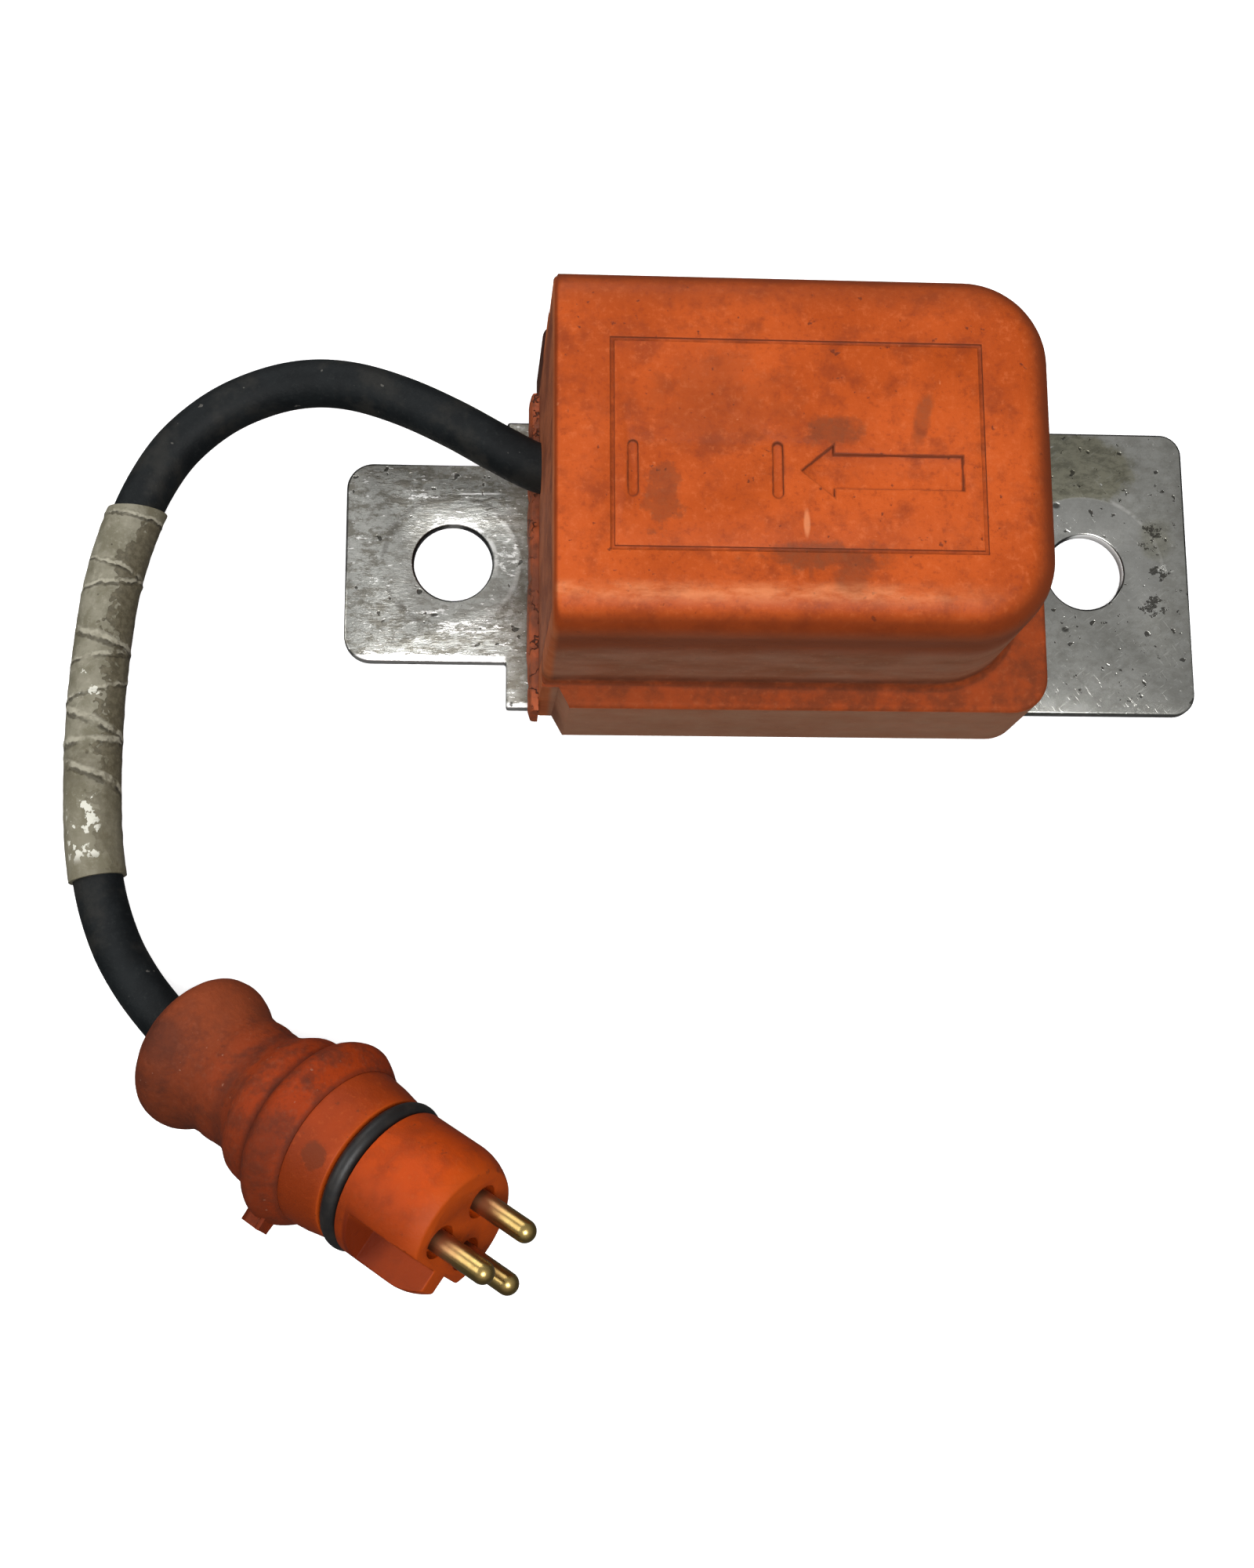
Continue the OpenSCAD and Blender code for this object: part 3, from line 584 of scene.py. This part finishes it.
def orange_plastic():
    """Plug body: bright orange nose, duller behind the O-ring, browned at the pin face."""
    p = Paint("orange_plastic")
    a = p.along(PLUG_AT, PLUG_AXIS)
    top, side = p.along(PLUG_AT, PLUG_TOP), p.along(PLUG_AT, PLUG_SIDE)
    mottle, fine = p.noise(0.4, 5, 0.66), p.noise(1.6, 5, 0.7)
    color = p.mix(a.step(26.5, 29.5), (0.290, 0.037, 0.0042), (0.455, 0.053, 0.0020))
    color = p.mix(mottle.step(0.42, 0.68) * 0.6, color, (0.215, 0.028, 0.0042))
    color = p.mix(fine.step(0.52, 0.72) * 0.35, color, (0.56, 0.098, 0.018))
    facing = p.nx * PLUG_AXIS.x + p.ny * PLUG_AXIS.y + p.nz * PLUG_AXIS.z
    front = facing.step(0.15, 0.75)
    color = p.mix(front * 0.85, color, (0.43, 0.062, 0.0045))
    smudge = (far(a - 25.4, side - 1.9) + (mottle - 0.5) * 2.6).step(1.5, 1.1)
    smudge = smudge * top.step(2, 5) * a.step(28, 27.6)
    speck = p.noise(0.9, 3, 0.5, shift=13).step(0.66, 0.72)
    color = p.mix((smudge * 0.75).max(speck * 0.5), color, (0.105, 0.026, 0.009))
    shade = (p.nz.step(0.85, 0.0) * 0.5).max(side.step(-2.5, 5.0) * (0.72 - front * 0.45))
    color = p.mix(shade, color, (0.140, 0.018, 0.0016))
    # painted shade in the pocket behind the nose's flat cut
    pocket_shade = side.step(3.4, 5.0) * a.step(35.0, 31.8) * a.step(30.9, 31.3)
    color = p.mix(pocket_shade * 0.85, color, (0.110, 0.012, 0.002))
    relief = mottle * 0.07 + fine * 0.03
    return p.done(color, fine * 0.12 + mottle * 0.12 + 0.42, relief, gloss=0.16)


def gold_plate():
    """Gold plated metal, clean at the tips and tarnished brown towards the roots."""
    p = Paint("gold_plate")
    a = p.along(PLUG_AT, PLUG_AXIS)
    cloud = p.noise(0.8, 4, 0.65)
    tarnish = a.step(44.0, 39.8) * a.step(20, 30)
    color = p.mix(cloud.step(0.42, 0.62) * 0.5, (0.46, 0.325, 0.115), (0.30, 0.195, 0.065))
    color = p.mix((tarnish * 0.8 + (cloud - 0.5) * 0.4).max(0.0), color, (0.46, 0.205, 0.105))
    return p.done(color, cloud * 0.14 + 0.21 + tarnish * 0.16, cloud * 0.015, metal=1.0)


def black_rubber():
    """Satin O-ring."""
    p = Paint("black_rubber")
    cloud, fine = p.noise(0.6, 3, 0.6), p.noise(4, 3, 0.6)
    color = p.mix(cloud.step(0.45, 0.75) * 0.6, (0.0085, 0.0080, 0.0080), (0.024, 0.020, 0.0165))
    return p.done(color, cloud * 0.06 + fine * 0.06 + 0.40, fine * 0.012, gloss=0.4)


def grimy_end():
    """Brown end wall under a skin of old dirt, streaked up and down."""
    p = Paint("grimy_end")
    broad, fine = p.noise(0.22, 4, 0.65, shape=(1, 1, 0.5)), p.noise(1.4, 4, 0.65)
    color = p.mix(broad.step(0.36, 0.62), (0.210, 0.053, 0.0185), (0.360, 0.102, 0.037))
    color = p.mix(fine.step(0.5, 0.75) * 0.5, color, (0.075, 0.030, 0.018))
    return p.done(color, fine * 0.15 + 0.58, broad * 0.2 + fine * 0.06, gloss=0.25)


def sealant():
    """Rubbery bead, orange-brown with dirty hollows and a few cracks."""
    p = Paint("sealant")
    broad, fine = p.noise(0.16, 4, 0.65, shape=(1, 0.7, 1)), p.noise(1.3, 4, 0.65)
    color = p.mix(broad.step(0.38, 0.62), (0.165, 0.045, 0.018), (0.40, 0.082, 0.022))
    color = p.mix(fine.step(0.50, 0.70) * 0.55, color, (0.085, 0.030, 0.017))
    crack = (p.noise(0.35, 3, 0.6, shift=15) - 0.5).abs().step(0.022, 0.004)
    crack = crack * p.noise(0.2, 2, shift=52).step(0.45, 0.55)
    color = p.mix(crack * 0.85, color, (0.030, 0.012, 0.008))
    return p.done(color, fine * 0.15 + 0.5, broad * 0.25 + fine * 0.06 - crack * 0.25, gloss=0.25)


# ---------------------------------------------------------------- materials of the inside
def cloudy(name, dark, pale, rough, metal=0.0, per_mm=0.5, relief=0.02, shape=(1, 1, 1)):
    """A finish of two close shades in soft clouds, with a fine grain in its gloss."""
    p = Paint(name)
    cloud, fine = p.noise(per_mm, 4, 0.6, shape=shape), p.noise(per_mm * 6, 3, 0.6, shape=shape)
    color = p.mix(cloud.step(0.35, 0.68), dark, pale)
    return p.done(color, fine * 0.16 + cloud * 0.08 + rough - 0.12, cloud * relief + fine * relief * 0.5,
                  metal=metal)


def board_green():
    """Solder mask over copper tracks, on a resin board."""
    p = Paint("board_green")
    track = (p.z * 0.5).math("SINE").abs().step(0.86, 0.93) * p.x.step(-16.9, -16.99)
    color = p.mix(p.noise(0.6, 3).step(0.35, 0.65), (0.012, 0.085, 0.036), (0.020, 0.125, 0.055))
    color = p.mix(track * 0.6, color, (0.05, 0.20, 0.075))
    return p.done(color, p.noise(2, 2) * 0.15 + 0.25, track * 0.04, gloss=0.5)


def resistor_blue():
    """Blue lacquer with coloured bands, and tinned leads."""
    p = Paint("resistor_blue")
    y = p.y
    color = p.mix(p.noise(1.0, 2), (0.16, 0.32, 0.47), (0.21, 0.40, 0.55))
    for place, band in ((1.3, (0.25, 0.06, 0.02)), (2.5, (0.02, 0.02, 0.02)), (3.7, (0.55, 0.22, 0.02)),
                        (5.2, (0.45, 0.30, 0.06))):
        color = p.mix((y - place).abs().step(0.34, 0.28), color, band)
    lead_wire = y.step(0.22, 0.16).max(y.step(6.38, 6.44))
    color = p.mix(lead_wire, color, (0.60, 0.59, 0.57))
    return p.done(color, p.noise(2, 2) * 0.12 + 0.24, p.noise(0.6, 2) * 0.03)


# finishes in two shades: the dark one, the pale one, the roughness, and what else cloudy takes
PLAIN = {
    "potting": ((0.018, 0.017, 0.016), (0.045, 0.042, 0.038), 0.5, {"per_mm": 0.3, "relief": 0.12}),
    "black_plastic": ((0.022, 0.022, 0.024), (0.042, 0.042, 0.045), 0.5, {"per_mm": 0.8}),
    "screw_steel": ((0.46, 0.46, 0.45), (0.66, 0.66, 0.65), 0.36, {"metal": 1.0, "per_mm": 1.2}),
    "ivory_plastic": ((0.52, 0.47, 0.37), (0.66, 0.61, 0.50), 0.5, {"per_mm": 0.35}),
    "magnet": ((0.060, 0.060, 0.065), (0.14, 0.14, 0.15), 0.55,
               {"metal": 1.0, "per_mm": 2.5, "relief": 0.03}),
    "bright_steel": ((0.56, 0.56, 0.56), (0.72, 0.72, 0.72), 0.3,
                     {"metal": 1.0, "per_mm": 1.5, "shape": (0.2, 1, 1)}),
    "wire_red": ((0.36, 0.016, 0.012), (0.50, 0.028, 0.020), 0.45, {"per_mm": 1.0}),
    "wire_blue": ((0.012, 0.045, 0.30), (0.022, 0.075, 0.42), 0.45, {"per_mm": 1.0}),
    "wire_yellow": ((0.58, 0.40, 0.03), (0.74, 0.54, 0.05), 0.45, {"per_mm": 1.0}),
    "natural_nylon": ((0.50, 0.48, 0.41), (0.64, 0.62, 0.54), 0.45, {"per_mm": 0.8}),
}
FINISH = {make.__name__: make() for make in (
    orange_shell, zinc_steel, cable_black, aged_tape, red_rubber, orange_plastic, gold_plate, black_rubber,
    grimy_end, sealant, board_green, resistor_blue)}
FINISH.update((name, cloudy(name, dark, pale, rough, **extra))
              for name, (dark, pale, rough, extra) in PLAIN.items())


def finish(piece, slot):
    """Gives a new piece, or a CAD node that stays, the finish of a material slot."""
    piece.data.materials.clear()
    piece.data.materials.append(FINISH[slot])


for part in frame["record"]["subparts"]:
    finish(nodes[part["node"]], part["material_slot"])
finish(lead_piece, "cable_black")


# ---------------------------------------------------------------- pieces that replace CAD solids
def shade_by_angle(piece, degrees=35):
    """Smooth shading that keeps the sharp edges sharp."""
    mesh = piece.data
    mesh.polygons.foreach_set("use_smooth", [True] * len(mesh.polygons))
    bm = bmesh.new()
    bm.from_mesh(mesh)
    limit = math.radians(degrees)
    for e in bm.edges:
        e.smooth = len(e.link_faces) == 2 and e.calc_face_angle(0.0) < limit
    bm.to_mesh(mesh)
    bm.free()


def softened(node, name, slot, passes):
    """A copy of a CAD node with its sharp edges worn round. Each pass is a test that takes an edge's middle
    in millimetres and whether it is convex, then the rounding's width in millimetres and its segments."""
    bm = bmesh.new()
    bm.from_mesh(nodes[node].data)
    bmesh.ops.remove_doubles(bm, verts=bm.verts, dist=1e-6)
    bmesh.ops.dissolve_limit(bm, angle_limit=math.radians(0.5), verts=bm.verts, edges=bm.edges)
    for wanted, width, segments in passes:
        sharp = [e for e in bm.edges if len(e.link_faces) == 2 and e.calc_face_angle(0.0) > math.radians(30)
                 and wanted((e.verts[0].co + e.verts[1].co) / (2 * MM), e.is_convex)]
        bmesh.ops.bevel(bm, geom=sharp, offset=width * MM, offset_type="OFFSET", segments=segments,
                        profile=0.5, affect="EDGES", clamp_overlap=False)
    mesh = bpy.data.meshes.new(name)
    bm.to_mesh(mesh)
    bm.free()
    piece = bpy.data.objects.new(name, mesh)
    scene.collection.objects.link(piece)
    shade_by_angle(piece, 40)
    stands_for(piece, node)
    finish(piece, slot)
    return piece


# the boot's outline, as places along the plug's axis and radii in millimetres
BOOT_OUTSIDE = [
    (0.35, 2.66), (0.0, 3.4), (0.0, 5.0), (0.3, 6.2), (1, 7.15), (2, 8.0), (3, 8.26), (4, 8.24), (5, 7.87),
    (6, 7.27), (7, 6.93), (8, 6.75), (9.5, 6.78), (11, 6.66), (12, 6.66), (13, 6.89), (14, 7.42), (15, 8.0),
    (16, 8.22), (17, 8.22), (17.9, 8.15), (18.4, 8.75), (19.0, 9.55), (19.8, 10.0), (20.6, 10.0),
    (21.4, 9.62), (22.2, 9.05), (22.8, 8.7), (23.0, 8.45),
]
BOOT_INSIDE = [(22.9, 7.6), (22.6, 5.72), (16, 5.7), (10.2, 5.7), (10.0, 4.0), (9.8, 2.66), (5, 2.66)]


def boot():
    """The rubber boot: one flowing turned shape with soft rings, a little uneven, and its lug."""
    outside = [Vector(p) for p in BOOT_OUTSIDE]
    curve = []
    for k in range(len(outside) - 1):
        curve += [spline(outside, k, j / 4) for j in range(4)]
    curve.append(outside[-1])
    curve += [Vector(p) for p in BOOT_INSIDE]
    sides, verts = 96, []
    for j, (a, r) in enumerate(curve):
        for i in range(sides):
            t = 2 * math.pi * i / sides
            way = math.cos(t) * PLUG_TOP + math.sin(t) * PLUG_SIDE
            bend = 0.0
            if j < 4 * len(outside) - 4 and r > 3:
                spot = PLUG_AT + PLUG_AXIS * a + way * r
                bend = 0.10 * noise.noise(spot * 0.22) + 0.05 * noise.noise(spot * 0.7)
                bend -= 0.09 * math.exp(-((a - 8.6) / 0.35) ** 2) + 0.07 * math.exp(-((a - 10.6) / 0.3) ** 2)
            verts.append((PLUG_AT + PLUG_AXIS * a + way * (r + bend)) * MM)
    rows = len(curve)
    faces = [(j * sides + i, j * sides + (i + 1) % sides, ((j + 1) % rows) * sides + (i + 1) % sides,
              ((j + 1) % rows) * sides + i) for j in range(rows) for i in range(sides)]
    piece = mesh_piece("plug_boot_rubber", verts, faces)
    bm = bmesh.new()
    bm.from_mesh(piece.data)
    lug = bmesh.ops.create_cube(bm, size=1.0)["verts"]
    for v in lug:
        a, s, w = v.co.x, v.co.y, v.co.z
        spread = 1.05 - 0.15 * (s + 0.5)
        v.co = (PLUG_AT + PLUG_AXIS * (20.1 + a * 1.8) + PLUG_SIDE * (8.8 + 1.9 * (s + 0.5))
                + PLUG_TOP * (0.2 + w * 2 * spread)) * MM
    edges = list({e for v in lug for e in v.link_edges})
    bmesh.ops.bevel(bm, geom=edges, offset=0.28 * MM, segments=3, profile=0.5, affect="EDGES")
    bmesh.ops.recalc_face_normals(bm, faces=bm.faces)
    bm.to_mesh(piece.data)
    bm.free()
    shade_by_angle(piece, 50)
    stands_for(piece, "plug_boot")
    finish(piece, "red_rubber")
    return piece


def tape():
    """One wrap of tape on the lead: creased, with a step where its end overlaps and one end cut askew."""
    rows, sides = 150, 72
    points = route_points(*TAPE_SPAN, rows - 1)

    def radius(s, a):
        v = a / (2 * math.pi)
        r = LEAD_D / 2 + 0.40 * MM + 0.05 * MM * noise.noise(Vector((s * 40, math.cos(a), math.sin(a))))
        r += 0.05 * MM * (1 if 0.36 > v > 0.02 else 0)
        for start, slope, width in TAPE_FOLDS:
            d = (s - start + width * 2.2 - (v - 0.25) * slope) / (width * 1.6)
            there = 0.5 + 0.9 * noise.noise(Vector((start * 50, 3 * math.cos(a), 3 * math.sin(a))))
            r += 0.13 * MM * math.exp(-d * d) * min(max(there, 0.0), 1.0)
        return r + 0.06 * MM * math.exp(-(s / 0.02) ** 2)

    n = rows * sides
    verts = tube_points(points, radius, sides)
    verts += tube_points(points, lambda s, a: LEAD_D / 2 + 0.02 * MM, sides)
    way = (points[1] - points[0]).normalized()
    for k, v in enumerate(verts):
        row, around = divmod(k % n, sides)
        slant = max(0.0, 1 - 5 * row / (rows - 1))
        verts[k] = v + way * (0.9 * MM * slant * math.cos(2 * math.pi * around / sides))
    faces = grid_faces(rows, sides, False)
    faces += [tuple(n + i for i in f[::-1]) for f in faces]
    for row in (0, rows - 1):
        for i in range(sides):
            a, b = row * sides + i, row * sides + (i + 1) % sides
            faces.append((a, n + a, n + b, b) if row == 0 else (a, b, n + b, n + a))
    piece = mesh_piece("tape_wrap", verts, faces)
    uv = piece.data.uv_layers.new(name="wrap")
    for poly in piece.data.polygons:
        corners = [piece.data.loops[i].vertex_index % n for i in poly.loop_indices]
        last = any(c % sides == sides - 1 for c in corners)
        for i, c in zip(poly.loop_indices, corners):
            around = c % sides
            if last and around == 0:
                around = sides
            uv.data[i].uv = ((c // sides) / (rows - 1), around / sides)
    shade_by_angle(piece, 50)
    stands_for(piece, "tape_sleeve")
    finish(piece, "aged_tape")
    return piece


def seal():
    """The bead of sealant along the foot of the end wall, uneven in height and thickness."""
    low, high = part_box("end_seal")
    steps, ring = 160, 18
    verts = []
    for j in range(steps + 1):
        y = low[1] + (high[1] - low[1]) * j / steps
        k = y / MM
        end = min(1.0, min(j, steps - j) / 3 * 0.2 + 0.8)
        lumps = noise.noise(Vector((k * 0.16, 3.1, 0.0)))
        notch = sum(math.exp(-((k - at) / 0.35) ** 2) for at in (-14.9, -3.2, 6.3, 14.2))
        thick = (high[0] - low[0]) * (0.93 + 0.14 * lumps + 0.05 * noise.noise(Vector((k * 0.6, 7.7, 0.0)))
                                      - 0.13 * notch) * end
        tall = (high[2] - low[2]) * (0.92 + 0.10 * noise.noise(Vector((k * 0.13, 0.0, 9.2)))
                                     + 0.04 * noise.noise(Vector((k * 0.7, 0.0, 4.2))))
        for i in range(ring):
            t = math.pi * i / (ring - 1)
            up = (0.5 - 0.5 * math.cos(t)) * tall
            pocked = 1.0 + 0.08 * noise.noise(Vector((k * 0.35, up / MM * 0.5, 1.3)))
            out = math.sin(t) ** 0.35 * thick * pocked
            verts.append((high[0] - min(out, high[0] - low[0]), y, low[2] + up))
    piece = mesh_piece("end_seal_bead", verts, grid_faces(steps + 1, ring))
    shade_by_angle(piece, 60)
    stands_for(piece, "end_seal")
    finish(piece, "sealant")


def any_edge(m, convex):
    return True


def top_marks(m, convex):
    """The rims of the marks sunk in the cover's top."""
    return m.z > 34 and m.x > -22


def ledge_corner(m, convex):
    """The inner corner between the cover's walls and its ledge, short of the small corner at the back."""
    return not convex and 13 < m.z < 14.5 and (m.x > -24.4 or m.y < 0)


def open_rim(m, convex):
    """The outer edges of the cover's open end, not those round the end cap."""
    return convex and m.x < -25.5 and (m.z > 33 or m.y < -15 or m.y > 19)


def upper_rim(m, convex):
    return open_rim(m, convex) and m.z > 14


def skirt_rim(m, convex):
    return open_rim(m, convex) and 1 < m.z < 13.9


softened("mounting_plate", "plate_sheet", "zinc_steel", ((any_edge, 0.28, 3),))
plug_pieces = [softened("plug_body", "plug_shell", "orange_plastic", ((any_edge, 0.18, 2),))]
softened("cover", "cover_shell", "orange_shell", (
    (top_marks, 0.10, 2), (ledge_corner, 1.3, 5), (upper_rim, 0.9, 4), (skirt_rim, 0.5, 3)))
plug_pieces += [boot(), tape()]
seal()
plug_pieces += [nodes["plug_o_ring"]]
plug_pieces += [nodes[f"{kind}_{i}"] for kind in ("contact_pin", "plug_wire") for i in (1, 2, 3)]
round(path_length(lead_points), 3)


# ---------------------------------------------------------------- stage
REACH = 6.0                                 # half the floor's width, and the backdrop's radius
BACKDROP_LOW, BACKDROP_HIGH, BACKDROP_SIDES = -0.1, 4.9, 48
AIM = Vector((-0.03, -0.02, 0))             # where the lights point
LIGHTS = (                                  # name, place, size, power
    ("softbox", (0.03, -0.23, 0.62), 0.28, 3.2),
    ("low_back", (-0.22, 0.60, 0.32), 0.36, 1.3),
    ("left_window", (-0.58, 0.12, 0.34), 0.40, 1.4),
)


def surround():
    """A white world that is brighter overhead than below."""
    world = bpy.data.worlds.new("studio")
    scene.world = world
    world.use_nodes = True
    sky = world.node_tree
    way = sky.nodes.new("ShaderNodeTexCoord")
    height = sky.nodes.new("ShaderNodeSeparateXYZ")
    level = sky.nodes.new("ShaderNodeMapRange")
    sky.links.new(way.outputs["Generated"], height.inputs[0])
    sky.links.new(height.outputs["Z"], level.inputs[0])
    level.inputs["To Min"].default_value, level.inputs["To Max"].default_value = 0.10, 0.62
    sky.links.new(level.outputs[0], sky.nodes["Background"].inputs["Strength"])
    sky.nodes["Background"].inputs["Color"].default_value = (1, 1, 1, 1)


def stage():
    """A pale floor and a round backdrop, a softbox in front and above, and two weaker lights at the sides."""
    surround()
    floor = mesh_piece("floor", [(x * REACH, y * REACH, 0) for x, y in ((-1, -1), (1, -1), (1, 1), (-1, 1))],
                       [(0, 1, 2, 3)])
    turns = [2 * math.pi * i / BACKDROP_SIDES for i in range(BACKDROP_SIDES)]
    wall = [(REACH * math.cos(t), REACH * math.sin(t), z)
            for z in (BACKDROP_LOW, BACKDROP_HIGH) for t in turns]
    backdrop = mesh_piece("backdrop", wall, grid_faces(2, BACKDROP_SIDES, False))
    for piece, name, glow in ((floor, "pale_floor", 0.62), (backdrop, "pale_backdrop", 0.85)):
        ground = Paint(name)
        ground.bsdf.inputs["Emission Color"].default_value = (1, 1, 1, 1)
        ground.bsdf.inputs["Emission Strength"].default_value = glow
        piece.data.materials.append(ground.done((0.84, 0.84, 0.84), 0.9, gloss=0.0))
        piece.visible_diffuse = piece.visible_glossy = False
    backdrop.visible_shadow = False
    for name, place, size, power in LIGHTS:
        light = bpy.data.objects.new(name, bpy.data.lights.new(name, "AREA"))
        light.data.size = size
        light.data.energy = power
        light.location = place
        light.rotation_euler = (AIM - light.location).to_track_quat("-Z", "Y").to_euler()
        scene.collection.objects.link(light)


stage()
scene.view_settings.view_transform = "Standard"
